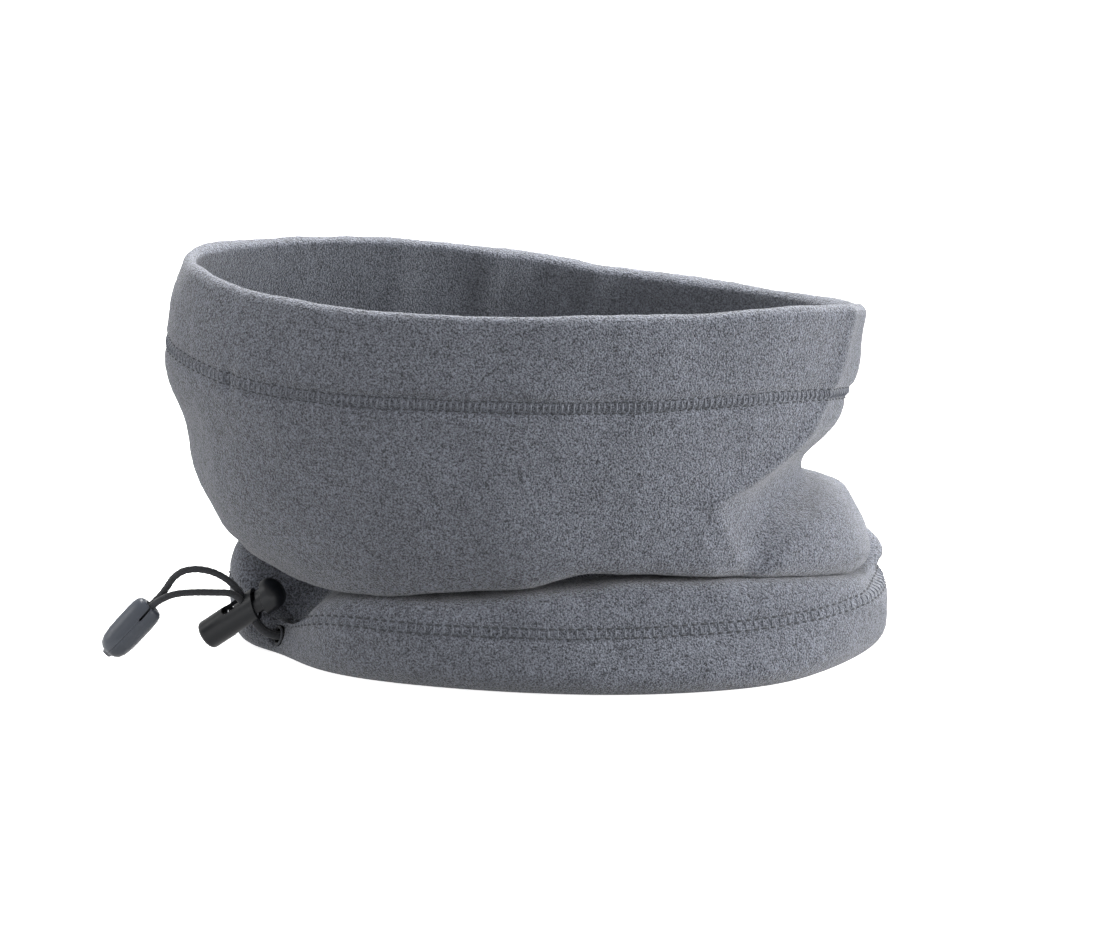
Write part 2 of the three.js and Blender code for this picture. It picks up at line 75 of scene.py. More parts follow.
# Local pushes on the wall: angle, height, how far out, and how wide (degrees) and tall.
PUSHES = (
    (2, 0.079, -0.0046, 20, 0.009),
    (0, 0.104, -0.0010, 20, 0.009),
    (-12, 0.039, 0.0024, 24, 0.008),
    (10, 0.027, 0.0025, 13, 0.005),
    (184, 0.075, -0.0033, 36, 0.012),
    (180, 0.117, 0.0016, 25, 0.009),
    (294, 0.003, 0.0070, 32, 0.014),
    (310, 0.003, 0.0025, 14, 0.012),
    # Soft folds down the back wall and a crease along the roll, too slight for the frame.
    (112, 0.095, -0.0010, 3.0, 0.050),
    (96, 0.095, -0.0017, 2.6, 0.060),
    (88, 0.095, 0.0009, 2.6, 0.060),
    (77, 0.095, -0.0016, 2.8, 0.060),
    (62, 0.095, -0.0008, 3.0, 0.050),
    (-4, 0.0225, -0.0024, 28, 0.0022),
)
# The pocket pressed into the wall at the wearer's side. Valley, ridge, shelf and roundness are each
# a value and a dip: value, dip, angle, how wide.
POCKET = {"depth": 0.0150, "from": -60, "full": -8, "level": 30, "to": 62}
POCKET_VALLEY = (0.059, -0.016, -58, 14)
POCKET_RIDGE = (0.081, -0.020, -58, 22)
POCKET_SHELF = (0.0074, 0.004, -55, 25)
POCKET_ROUNDNESS = (1.3, 1.0, 5, 28)
# The crest of the pocket's ridge. It starts at a height and rises to its full size, then swings from
# its angle towards the wearer's side above another.
CREST = {"out": 0.0032, "wide": 2.4, "low": 0.032, "rise": 0.015}
CREST_PATH = {"angle": -55, "swing": 35, "above": 0.060, "over": 0.017}
CREST_SOFTNESS = 0.02  # radians
# The hollow behind the cord lock, which draws the roll in and down. It fades out above the fold, and
# is less deep at the foot.
HOLLOW = {"angle": 207, "wide": 14.5, "in": 0.011, "foot_in": 0.005, "drop": 0.68}
HOLLOW_FADE = 0.006
HOLLOW_FULL_HEIGHT = 0.009
CHANNEL_DROP = 0.7  # the share of the hollow's drop that lowers the channel's stitching

# Relief too fine for the frame. Lengths are metres, angles degrees.
TOP_GROOVE = 0.0010
CHANNEL_GROOVE = 0.0006
GROOVE_WIDTH = 0.0008
HEM_STEP = {"out": 0.0005, "over": 0.0006}  # the double cloth of the hem stands out a little
PUCKER = {"wide": 1.4, "depth": 0.028, "tall": 0.004, "in": 0.0016}
PUCKER_CRUMPLES = {"size": 0.0016, "out": 0.0009}
UNEVENNESS = ((0.030, 0.0011), (0.011, 0.0004), (0.0021, 0.00016))  # the bumps' size and height
LEVEL_FOOT = 0.006  # unevenness fades out below this height


def station(oval, out, level, above=0.0, drop=0.0, lip=0.0):
    """A place on the way down the cloth. Levels are 2 at the top edge, 1 at the fold, 0 at the
    ground; drop is the share of the hollow's drop that lowers it, lip that of the slit's lift."""
    return {"oval": oval, "out": out, "level": level, "above": above, "drop": drop, "lip": lip}


STATIONS = (
    station(RIM_OVAL, -0.0006, 2),
    station(HEM_OVAL, 0, 1.64),
    station(MIDDLE_OVAL, 0, 1.3),
    station(BELLY_OVAL, 0, 1.12),
    station(LIP_OVAL, 0, 1, 0.0050, lip=0.6),
    station(LIP_OVAL, -0.0016, 1, 0.0016, lip=1),
    station(LIP_OVAL, -0.006, 1, 0.0006, lip=1),
    station(LIP_OVAL, -FOLD_DEPTH, 1, 0.0009),
    station(LIP_OVAL, -FOLD_DEPTH, 1, -0.0009, 0.4),
    station(ROLL_OVAL, -0.009, 1, -0.0008, 0.85),
    station(ROLL_OVAL, -0.004, 1, -0.0018, 0.95),
    station(ROLL_OVAL, -0.0008, 0.78, 0, 0.78),
    station(ROLL_OVAL, 0, 0.42, 0, 0.4),
    station(ROLL_OVAL, -0.0010, 0.14),
    station(ROLL_OVAL, -0.0045, 0),
    station(ROLL_OVAL, -0.0045 - FOOT_WIDTH, 0),
    station(ROLL_OVAL, -0.0162, 0, 0.0022),
    station(ROLL_OVAL, -0.0177, 0.2, 0, 0.2),
    station(ROLL_OVAL, -0.0147, 0.42, 0, 0.68),
    station(ROLL_OVAL, -0.0109, 0.57, 0, 0.82),
    station(ROLL_OVAL, -0.0082, 0.67, 0, 0.87),
)
FOLD_STATION = 7.5  # where the cloth turns back at the fold, counted in stations
FOOT_STATION = 15

# ---- Stitching and seam ----
TOP_STITCH = {"pitch": 0.0027, "ladder": 0.0019, "radius": 0.00026}
CHANNEL_STITCH = {"pitch": 0.003, "ladder": 0.003, "radius": 0.00036}
LADDER_RADIUS = 0.00026
STITCH_RISES = (-0.0002, 0.0001, 0.0002, 0.0001, -0.0002)  # along a stitch, from the cloth's face
SEAM_STATIONS = (1.1, 2.9)
SEAM_HALF_STEPS = 4
SEAM_GAP = 0.0006

# ---- Cord lock, built along +Z from its closed end with +X as its upper side ----
LOCK_END = Vector((-0.1048, -0.0195, 0.0057))
LOCK_AXIS = Vector((0.0231, -0.0040, 0.0165)).normalized()
BARREL = {"radius": 0.0049, "bore": 0.0039, "length": 0.0208, "floor": 0.0026, "edge": 0.0013}
RIM_SLOPE = 0.35
BARREL_WINDOW = {"low": 0.0096, "high": 0.0193, "width": 0.0059, "corner": 0.0016}
PLUNGER_SLOT = {"low": 0.0160, "high": 0.0224, "width": 0.0055, "corner": 0.0007}
SLOT_TURN = math.radians(15)
SLOT_SLOPE = 0.15
TOOL_REACH = 0.008  # from the lock's axis to the ends of a cutting slot
PLUNGER = {"radius": 0.0035, "low": 0.0144}
BUTTON = {"radius": 0.0053, "low": 0.0246, "shoulder": 0.0274, "high": 0.0314}
SPRING = {"low": 0.0032, "high": 0.0138, "radius": 0.0030, "wire": 0.00032, "turns": 5}

# ---- Cords ----
CORD_RADIUS = 0.00115
EXIT_HOLE = Vector((-0.0806, -0.0196, 0.0058))
EXIT_AXIS = Vector((0.88, 0.40, -0.25)).normalized()
EXIT_RADIUS = 0.0035
BINDING = {"radius": 0.00285, "sunk": 0.0008, "thread": 0.0004}
STRAND_STEP = 0.00028
ROUTES = {
    "exit_strand_near": (
        (-0.0712, -0.0209, 0.0043), (-0.0732, -0.0198, 0.0041), (-0.0756, -0.0197, 0.0042),
        (-0.0783, -0.0202, 0.0050), (-0.0801, -0.0208, 0.0058), (-0.0820, -0.0217, 0.0064),
        (-0.0850, -0.0226, 0.0078), (-0.0876, -0.0228, 0.0103), (-0.0892, -0.0228, 0.0129),
        (-0.09065, -0.02315, 0.0153),
    ),
    "exit_strand_far": (
        (-0.0849, -0.0089, 0.0061), (-0.0832, -0.0111, 0.0060), (-0.0806, -0.0131, 0.0057),
        (-0.0790, -0.0153, 0.0053), (-0.0793, -0.0176, 0.0053), (-0.0811, -0.0184, 0.0058),
        (-0.0831, -0.0193, 0.0064), (-0.0858, -0.0200, 0.0082), (-0.0879, -0.0201, 0.0108),
        (-0.0893, -0.0202, 0.0135), (-0.0906, -0.0206, 0.01585),
    ),
    "loop_strand_near": (
        (-0.0908, -0.02325, 0.0157), (-0.0921, -0.0237, 0.0181), (-0.0939, -0.0244, 0.0206),
        (-0.0966, -0.0251, 0.0220), (-0.1005, -0.0258, 0.0224), (-0.1050, -0.0266, 0.0227),
        (-0.1095, -0.0276, 0.0229), (-0.1135, -0.0290, 0.0228), (-0.1166, -0.0303, 0.0220),
        (-0.1195, -0.0309, 0.0204), (-0.1218, -0.03115, 0.0182), (-0.1238, -0.0314, 0.0161),
        (-0.1257, -0.0316, 0.0141),
    ),
    "loop_strand_far": (
        (-0.0908, -0.0207, 0.01625), (-0.0921, -0.0212, 0.01865), (-0.0936, -0.0219, 0.0216),
        (-0.0958, -0.0227, 0.0246), (-0.0988, -0.0235, 0.0272), (-0.1025, -0.0242, 0.0291),
        (-0.1072, -0.0250, 0.0300), (-0.1113, -0.0258, 0.0294), (-0.1142, -0.0264, 0.0273),
        (-0.1161, -0.0269, 0.0246), (-0.1183, -0.0278, 0.0219), (-0.1211, -0.0284, 0.0191),
        (-0.1234, -0.0287, 0.0166), (-0.1257, -0.0290, 0.0142),
    ),
}

# ---- Cord end, built along +Z from its mouth with +Y towards the front ----
END_TOP = Vector((-0.1209, -0.0297, 0.0194))
END_TIP = Vector((-0.1360, -0.0314, 0.0033))
END_HALF_WIDTH = 0.0053
END_HALF_DEPTH = 0.0043
END_SPLIT = 0.00004
END_MOUTH = (0.0020, 0.0031)  # half widths along X and Y
END_CAVITY = {"half_x": 0.0034, "half_y": 0.0032, "low": 0.003, "high": 0.0145}
END_SLOT = {"width": 0.0007, "length": 0.0055, "depth": 0.0030}
END_RIDGE = 0.0007
LOZENGE = (
    (0, 0), (0.5, 0), (0.74, 0.015), (0.9, 0.06), (0.98, 0.14), (1, 0.25), (1, 0.5), (0.98, 0.66),
    (0.9, 0.8), (0.74, 0.89), (0.52, 0.935), (0.34, 0.95), (0.28, 0.99), (0, 1),
)

# ---- Camera ----
TARGET = Vector((0.007, 0, 0.057))
CAMERA_DISTANCE = 1.1
CAMERA_ELEVATION = math.radians(15)
LENS = 110.2  # millimetres, on a 36 mm sensor


# ---- Small helpers ----
def mix(a, b, share):
    """The value a share of the way from a to b."""
    return a + (b - a) * share


def bell(x, middle, wide):
    """A smooth bump: 1 at its middle, 0.37 at its width."""
    return np.exp(-(((x - middle) / wide) ** 2))


def angle_bell(angle, place, wide):
    """How near an angle is to a place in degrees, from 0 to 1."""
    apart = angle - math.radians(place)
    return bell(np.arctan2(np.sin(apart), np.cos(apart)), 0, math.radians(wide))


def wave(angle, mean, *amounts):
    """A mean with waves round the tube: cos, sin, cos 2, sin 2 and so on."""
    total = np.full_like(angle, mean)
    for i, amount in enumerate(amounts):
        turns = angle * (1 + i // 2)
        total += amount * (np.sin(turns) if i % 2 else np.cos(turns))
    return total


def smooth_line(points, places):
    """A centripetal Catmull-Rom curve through points, at places counted in points. points may hold
    many curves side by side."""
    points = np.asarray(points, float)
    ends = [2 * points[:1] - points[1:2], 2 * points[-1:] - points[-2:-1]]
    points = np.concatenate([ends[0], points, ends[1]])
    gaps = np.linalg.norm(np.diff(points, axis=0), axis=-1, keepdims=True) ** 0.5
    i = np.clip(np.floor(places).astype(int), 0, len(points) - 4)
    p0, p1, p2, p3 = (points[i + k] for k in range(4))
    d0, d1, d2 = (gaps[i + k] for k in range(3))
    start = ((p1 - p0) / d0 - (p2 - p0) / (d0 + d1) + (p2 - p1) / d1) * d1
    end = ((p2 - p1) / d1 - (p3 - p1) / (d1 + d2) + (p3 - p2) / d2) * d1
    t = (np.asarray(places) - i).reshape((-1,) + (1,) * (points.ndim - 1))
    bend = 3 * (p2 - p1) - 2 * start - end
    return p1 + start * t + bend * t**2 + (2 * (p1 - p2) + start + end) * t**3


def lengths_along(line):
    """The length from a line's start to each of its points."""
    steps = np.linalg.norm(np.diff(line, axis=0), axis=-1)
    return np.concatenate([np.zeros((1,) + steps.shape[1:]), np.cumsum(steps, axis=0)])


def unit(vectors):
    """Vectors scaled to length 1."""
    return vectors / np.maximum(np.linalg.norm(vectors, axis=-1, keepdims=True), 1e-12)


def noise_at(points, size, seed):
    """Smooth noise from -1 to 1 with bumps of a size, at an array of points."""
    shift = Vector((seed * 7.3, seed * 3.1, seed * 5.7))
    flat = points.reshape(-1, 3) / size
    values = [noise.noise(Vector(p) + shift) for p in flat]
    return np.array(values).reshape(points.shape[:-1])


def new_mesh(name, vertices, faces, material, smooth=True):
    """A new piece in the scene from vertices and faces."""
    mesh = bpy.data.meshes.new(name)
    mesh.from_pydata([tuple(v) for v in vertices], [], [tuple(f) for f in faces])
    mesh.update()
    for polygon in mesh.polygons:
        polygon.use_smooth = smooth
    piece = bpy.data.objects.new(name, mesh)
    bpy.context.scene.collection.objects.link(piece)
    mesh.materials.append(material)
    return piece


def grid_faces(rows, columns, closed_rows=True, closed_columns=True):
    """Faces of a grid of vertices whose rows, and whose columns, may join up end to end."""
    r = np.arange(rows if closed_rows else rows - 1)
    c = np.arange(columns if closed_columns else columns - 1)
    r, c = (x.ravel() for x in np.meshgrid(r, c, indexing="ij"))
    below = (r + 1) % rows
    beside = (c + 1) % columns
    corners = [r * columns + c, below * columns + c, below * columns + beside, r * columns + beside]
    return np.stack(corners, axis=-1).tolist()


def caps(rings, sides):
    """The two flat faces that close a skin over rings of vertices."""
    last = (rings - 1) * sides
    return [list(range(sides))[::-1], list(range(last, last + sides))]


def capped_faces(rings, sides):
    """Faces of a skin over rings of vertices, with a flat cap at each end."""
    faces = [face[::-1] for face in grid_faces(rings, sides, closed_rows=False)]
    return faces + caps(rings, sides)


# ---- The shape of the cloth ----
def fold_height(angle):
    """The height of the fold between wall and roll."""
    lifts = sum(up * angle_bell(angle, place, wide) for place, up, wide in FOLD_LIFTS)
    return wave(angle, *FOLD_WAVE) + lifts


def dipped(angle, value, dip, place, wide):
    """A value with a dip in it round a place."""
    return value + dip * angle_bell(angle, place, wide)


def pocket_depth(angle, height):
    """How deep the pocket is pressed in at an angle and a height."""
    degrees = np.degrees(np.arctan2(np.sin(angle), np.cos(angle)))
    starting = np.clip((degrees - POCKET["from"]) / (POCKET["full"] - POCKET["from"]), 0, 1)
    ending = np.clip((degrees - POCKET["level"]) / (POCKET["to"] - POCKET["level"]), 0, 1)
    along = np.sin(starting * math.pi / 2) * (1 - ending**2 * (3 - 2 * ending))
    valley = dipped(angle, *POCKET_VALLEY)
    ridge = dipped(angle, *POCKET_RIDGE)
    above = np.sin(np.clip((ridge - height) / (ridge - valley), 0, 1) * math.pi / 2)
    below = np.maximum(0, valley - height) / dipped(angle, *POCKET_SHELF)
    rounded_above = above ** dipped(angle, *POCKET_ROUNDNESS)
    return POCKET["depth"] * along * rounded_above * np.exp(-(below**4))


def crest(angle, height):
    """How far the sharp crest along the pocket's ridge stands out."""
    swung = 1 - np.exp(-np.maximum(0, height - CREST_PATH["above"]) / CREST_PATH["over"])
    apart = angle - np.radians(CREST_PATH["angle"] + CREST_PATH["swing"] * swung)
    apart = np.arctan2(np.sin(apart), np.cos(apart))
    sharp = np.exp(-np.sqrt(apart**2 + CREST_SOFTNESS**2) / math.radians(CREST["wide"]))
    return CREST["out"] * sharp * np.clip((height - CREST["low"]) / CREST["rise"], 0, 1)


def in_hollow(angle):
    """How far into the hollow behind the cord lock an angle is, from 0 to 1."""
    return angle_bell(angle, HOLLOW["angle"], HOLLOW["wide"])


def cloth_point(angle, oval, out, height):
    """Points on an oval at each angle, pushed out from it, at a height."""
    middle, half_x, half_y = oval
    slope_x = np.cos(angle) / half_x
    slope_y = np.sin(angle) / half_y
    above_fold = height - fold_height(angle)
    under_fold = np.clip((HOLLOW_FADE / 2 - above_fold) / HOLLOW_FADE, 0, 1)
    depth = mix(HOLLOW["foot_in"], HOLLOW["in"], np.minimum(1, height / HOLLOW_FULL_HEIGHT))
    pushed = out - depth * in_hollow(angle) * under_fold
    reach = pushed / np.hypot(slope_x, slope_y)
    x = middle + half_x * np.cos(angle) + slope_x * reach
    y = half_y * np.sin(angle) + slope_y * reach
    return np.stack([x, y, height], axis=-1)


def pushed_out(angle, grid):
    """The grid with its columns pushed in and out: the pocket, its crest and the soft pushes."""
    height = grid[..., 2]
    pushed = crest(angle, height) - pocket_depth(angle, height)
    for place, middle, out, wide, tall in PUSHES:
        pushed = pushed + out * angle_bell(angle, place, wide) * bell(height, middle, tall)
    _, half_x, half_y = BELLY_OVAL
    way = np.stack([np.cos(angle) / half_x, np.sin(angle) / half_y, 0 * angle], axis=-1)
    return grid + pushed[..., None] * unit(way)


def hollow_squash(angle, share):
    """What heights are multiplied by where they take a share of the hollow's drop."""
    return 1 - HOLLOW["drop"] * share * in_hollow(angle)


def station_points(angle, place):
    """The points round the cloth at one of its stations."""
    fold = fold_height(angle)
    level = place["level"]
    height = fold * level if level <= 1 else mix(fold, wave(angle, *RIM_WAVE), level - 1)
    height = height + place["lip"] * SLIT["up"] * angle_bell(angle, SLIT["angle"], SLIT["wide"])
    height = (height + place["above"]) * hollow_squash(angle, place["drop"])
    return cloth_point(angle, place["oval"], place["out"], height)


def face_normals(grid):
    """Outward normals of a grid of points, rows down the cloth and columns round it."""
    down = np.gradient(grid, axis=0)
    round_ = np.roll(grid, -1, axis=1) - np.roll(grid, 1, axis=1)
    return unit(np.cross(down, round_))


def cloth_face():
    """The cloth's face as a grid: up the turned-in hem, over the top edge, down the wall, in and
    out at the fold, down the roll, along the foot and up the channel's facing. It comes with each
    column's angle, each row's depth, and each row's place counted in stations (-1 on the hem)."""
    angle = np.linspace(0, 2 * math.pi, STEPS_ROUND, endpoint=False)
    stations = np.stack([station_points(angle, s) for s in STATIONS])
    fine = np.linspace(0, len(STATIONS) - 1, 40 * (len(STATIONS) - 1) + 1)
    length = lengths_along(smooth_line(stations, fine)).mean(axis=1)

    def rows_between(start, stop, spacing):
        count = max(2, round(abs(stop - start) / spacing) + 1)
        return np.interp(np.linspace(start, stop, count), length, fine)

    radius = RIM_FOLD / 2
    wall_places = rows_between(radius, length[-1], ROW_SPACING)
    wall = smooth_line(stations, wall_places)
    hem_places = rows_between(radius, HEM_DEPTH, HEM_ROW_SPACING)
    hem = smooth_line(stations, hem_places)
    hem = (hem - RIM_FOLD * face_normals(hem))[::-1]

    top = smooth_line(stations, fine[:8])
    down = unit(top[-1] - top[0])
    out = face_normals(top)[0]
    turns = np.linspace(math.pi / 2, -math.pi / 2, 9)[1:-1]
    rim = [
        top[0] + down * radius * (1 - math.cos(t)) - out * radius * (1 + math.sin(t)) for t in turns
    ]
    grid = np.concatenate([hem, np.stack(rim), wall])
    grid[..., 2] = np.maximum(grid[..., 2], 0)
    grid = pushed_out(angle, grid)
    hem_depths = -np.interp(hem_places, fine, length)[::-1]
    rim_depths = np.linspace(-radius, radius, len(turns))
    wall_depths = np.interp(wall_places, fine, length)
    depth = np.concatenate([hem_depths, rim_depths, wall_depths])
    place = np.concatenate([0 * hem_places - 1, 0 * turns, wall_places])
    return angle, grid, depth, place


def relief(angle, grid, depth, place):
    """How far the face stands out from its smooth shape: hems, stitched grooves and unevenness."""
    height = grid[..., 2]
    depth = depth[:, None]
    place = place[:, None]
    on_wall = (depth > 0) & (place < FOLD_STATION - 1.5)
    on_roll = (place > FOLD_STATION + 1) & (place < FOOT_STATION - 1)
    raised = np.zeros_like(height)
    below_rim = wave(angle, *RIM_WAVE) - height
    for row in TOP_STITCH_DEPTHS:
        raised -= on_wall * TOP_GROOVE * bell(below_rim, row, GROOVE_WIDTH)
    below_hem = (below_rim - TOP_STITCH_DEPTHS[0]) / HEM_STEP["over"]
    raised += on_wall * HEM_STEP["out"] / (1 + np.exp(below_hem))
    squash = hollow_squash(angle, CHANNEL_DROP)
    for row in CHANNEL_STITCH_HEIGHTS:
        raised -= on_roll * CHANNEL_GROOVE * bell(height, row * squash, GROOVE_WIDTH)
    at_pucker = angle_bell(angle, SEAM_ANGLE, PUCKER["wide"])
    at_pucker = at_pucker * bell(below_rim, PUCKER["depth"], PUCKER["tall"])
    raised -= on_wall * PUCKER["in"] * at_pucker
    crumples = noise_at(grid, PUCKER_CRUMPLES["size"], 4)
    raised += on_wall * PUCKER_CRUMPLES["out"] * at_pucker * crumples
    clear = np.clip(height / LEVEL_FOOT, 0, 1)
    for seed, (size, out) in enumerate(UNEVENNESS, start=1):
        raised += clear * out * noise_at(grid, size, seed)
    return raised


def fleece_tube(material, inside):
    """The whole cloth as one piece, with its face and the places of the face's rows."""
    angle, face, depth, place = cloth_face()
    normals = face_normals(face)
    face = face + normals * relief(angle, face, depth, place)[..., None]
    face[..., 2] = np.maximum(face[..., 2], 0)
    rows = np.linspace(0, len(face) - 1, round(len(face) * BACK_ROWS)).round().astype(int)
    back = (face - CLOTH_THICKNESS * face_normals(face))[rows[::-1]]
    grid = np.concatenate([face, back])
    faces = grid_faces(len(grid), STEPS_ROUND)
    piece = new_mesh("fleece_tube", grid.reshape(-1, 3), faces, material)
    piece.data.materials.append(inside)
    hidden = np.ones((len(grid), STEPS_ROUND), bool)
    hidden[: len(face)] = ((place < 0) | (place > FOOT_STATION + 1))[:, None]
    for polygon, is_inside in zip(piece.data.polygons, hidden.ravel()):
        polygon.material_index = int(is_inside)
    return piece, face, place


# ---- Stitching ----
def line_on_face(face, place, stations, heights):
    """Where the face crosses the heights, between two stations: points and normals round it."""
    rows = np.flatnonzero((place > stations[0]) & (place < stations[1]))
    counted = np.arange(len(rows))
    both = np.concatenate([face, face_normals(face)], axis=-1)[rows]
    found = np.empty((face.shape[1], 6))
    for column, height in enumerate(heights):
        at = np.interp(-height, -both[:, column, 2], counted)
        found[column] = [np.interp(at, counted, both[:, column, k]) for k in range(6)]
    return found[:, :3], unit(found[:, 3:])


def columns_at(spots, pitch, shares):
    """Columns of a closed line where stitches of an even pitch fall, at shares of each stitch."""
    length = lengths_along(np.concatenate([spots, spots[:1]]))
    count = round(length[-1] / pitch)
    steps = np.arange(count)[:, None] + shares
    return np.interp(steps / count * length[-1], length, np.arange(len(length)))


def at_columns(values, columns):
    """Values round a closed line, at places counted in columns."""
    closed = np.concatenate([values, values[:1]])
    counted = np.arange(len(closed))
    return np.stack([np.interp(columns, counted, closed[:, axis]) for axis in range(3)], axis=-1)


def threads(name, lines, outs, radius, material, sides=6):
    """Many short threads as one mesh: lines and the way out from the cloth, thread by point."""
    along = unit(np.gradient(lines, axis=1))
    side = unit(np.cross(along, outs))
    up = np.cross(side, along)
    turns = np.linspace(0, 2 * math.pi, sides, endpoint=False)[:, None]
    ring = np.cos(turns) * side[:, :, None] + np.sin(turns) * up[:, :, None]
    vertices = lines[:, :, None] + radius * ring
    count = lines.shape[1]
    one = grid_faces(count, sides, closed_rows=False) + caps(count, sides)
    faces = [[v + t * count * sides for v in f[::-1]] for t in range(len(lines)) for f in one]
    return new_mesh(name, vertices.reshape(-1, 3), faces, material)


def coverstitch(name, cloth, stations, rows, looks, pitch, ladder, radius):
    """Two rows of stitches, and the threads laid across between them, as two pieces. cloth is the
    face and its rows' places, stations the two that the rows lie between, looks the two threads'
    materials, and pitch and ladder the spacing of the stitches and of the crossing threads."""
    rises = np.array(STITCH_RISES)[:, None]
    lines, outs = [], []
    for heights in rows:
        spots, normals = line_on_face(*cloth, stations, heights)
        columns = columns_at(spots, pitch, np.linspace(0.1, 0.6, len(rises)))
        outs.append(unit(at_columns(normals, columns)))
        lines.append(at_columns(spots, columns) + outs[-1] * rises)
    levels = [mix(*rows, share) for share in np.linspace(0.08, 0.92, len(rises))]
    across = [line_on_face(*cloth, stations, level) for level in levels]
    columns = columns_at(across[len(across) // 2][0], ladder, np.array([0.5]))
    spots = np.concatenate([at_columns(spots, columns) for spots, _ in across], axis=1)
    out = unit(np.concatenate([at_columns(normals, columns) for _, normals in across], axis=1))
    lines = np.concatenate(lines)
    outs = np.concatenate(outs)
    return (
        threads(f"{name}_rows", lines, outs, radius, looks[0]),
        threads(f"{name}_ladder", spots + out * rises, out, LADDER_RADIUS, looks[1]),
    )


def seam_allowance(face, place, material):
    """The raw seam inside the tube, a soft strip from the hem to the fold."""
    centre = round(math.radians(SEAM_ANGLE) / (2 * math.pi) * STEPS_ROUND)
    rows = np.flatnonzero((place > SEAM_STATIONS[0]) & (place < SEAM_STATIONS[1]))
    columns = np.arange(centre - SEAM_HALF_STEPS, centre + SEAM_HALF_STEPS + 1)
    normals = face_normals(face)[np.ix_(rows, columns)]
    spots = face[np.ix_(rows, columns)] - normals * (CLOTH_THICKNESS + SEAM_GAP)
    across = np.linspace(-1, 1, len(columns))[None, :, None]
    inner = spots - normals * (0.0004 + 0.0016 * np.sqrt(1 - 0.9 * across**2))
    grid = np.concatenate([spots, inner[:, ::-1]], axis=1)
    sides = grid.shape[1]
    faces = grid_faces(len(rows), sides, closed_rows=False) + caps(len(rows), sides)
    return new_mesh("seam_allowance", grid.reshape(-1, 3), [f[::-1] for f in faces], material)


def exit_binding(material):
    """The ring of thread sewn round the cord's exit hole, about Z."""
    turns = np.linspace(0, 2 * math.pi, 49)[:-1]
    radius = BINDING["radius"]
    ring = [(radius * math.cos(t), radius * math.sin(t), -BINDING["sunk"]) for t in turns]
    return tube("exit_binding_thread", ring, BINDING["thread"], material, sides=8)


# ---- Materials ----
def new_material(name, roughness, metallic=0.0, color=None, sheen=0.0):
    """A new material with its node tree and its shader."""
    material = bpy.data.materials.new(name)
    material.use_nodes = True
    shader = material.node_tree.nodes["Principled BSDF"]
    shader.inputs["Roughness"].default_value = roughness
    shader.inputs["Metallic"].default_value = metallic
    shader.inputs["Sheen Weight"].default_value = sheen
    shader.inputs["Sheen Roughness"].default_value = 0.45
    if color:
        shader.inputs["Base Color"].default_value = (*color, 1)
    return material, material.node_tree, shader


def linear(level):
    """A linear colour value from an 8-bit one."""
    share = level / 255
    return share / 12.92 if share <= 0.04045 else ((share + 0.055) / 1.055) ** 2.4


def grey(r, g, b):
    """A linear colour from 8-bit values."""
    return tuple(linear(x) for x in (r, g, b))


def two_tone(tree, low, dark, high, light):
    """A colour ramp from dark at one value to light at another."""
    ramp = tree.nodes.new("ShaderNodeValToRGB")
    for element, value, color in zip(ramp.color_ramp.elements, (low, high), (dark, light)):
        element.position = value
        element.color = (*color, 1)
    return ramp


def node_with(tree, kind, **settings):
    """A new node with some of its inputs or properties set."""
    node = tree.nodes.new(kind)
    for name, value in settings.items():
        if name in node.inputs:
            node.inputs[name].default_value = value
        else:
            setattr(node, name, value)
    return node


def raised_by(tree, shader, height, distance):
    """Makes a shader's surface stand out by a node's value."""
    bump = node_with(tree, "ShaderNodeBump", Distance=distance, Strength=1.0)
    tree.links.new(height, bump.inputs["Height"])
    tree.links.new(bump.outputs["Normal"], shader.inputs["Normal"])


def pile_material(name, dark, light):
    """Short pile with pebbled tufts under a millimetre across: painted shade between them."""
    material, tree, shader = new_material(name, 0.95, sheen=0.35)
    where = tree.nodes.new("ShaderNodeTexCoord")
    tufts = node_with(tree, "ShaderNodeTexNoise", Scale=1800, Detail=2.0, Roughness=0.6)
    clumps = node_with(tree, "ShaderNodeTexNoise", Scale=420, Detail=1.0)
    patches = node_with(tree, "ShaderNodeTexNoise", Scale=45, Detail=2.0)
    for node in (tufts, clumps, patches):
        tree.links.new(where.outputs["Object"], node.inputs["Vector"])
    both = node_with(tree, "ShaderNodeMath", operation="MULTIPLY_ADD")
    both.inputs[1].default_value = 0.15
    tree.links.new(clumps.outputs["Fac"], both.inputs[0])
    tree.links.new(tufts.outputs["Fac"], both.inputs[2])
    # The noise that raises the tufts also colours them: painted highlight on the tufts, painted
    # shade in the pits, plus the clumps' random tone.
    ramp = two_tone(tree, 0.42, dark, 0.73, light)
    tree.links.new(both.outputs["Value"], ramp.inputs["Fac"])
    tint = node_with(tree, "ShaderNodeMixRGB", blend_type="SOFT_LIGHT", Fac=0.15)
    tree.links.new(ramp.outputs["Color"], tint.inputs[1])
    tree.links.new(patches.outputs["Fac"], tint.inputs[2])
    tree.links.new(tint.outputs["Color"], shader.inputs["Base Color"])
    raised_by(tree, shader, tufts.outputs["Fac"], 0.0009)
    return material


def plastic_material(name, color, roughness):
    """Moulded plastic with faint handling marks."""
    material, tree, shader = new_material(name, roughness, color=color)
    shader.inputs["Specular IOR Level"].default_value = 0.25
    where = tree.nodes.new("ShaderNodeTexCoord")
    marks = node_with(tree, "ShaderNodeTexNoise", Scale=900, Detail=4.0)
    tree.links.new(where.outputs["Object"], marks.inputs["Vector"])
    raised_by(tree, shader, marks.outputs["Fac"], 0.00004)
    return material


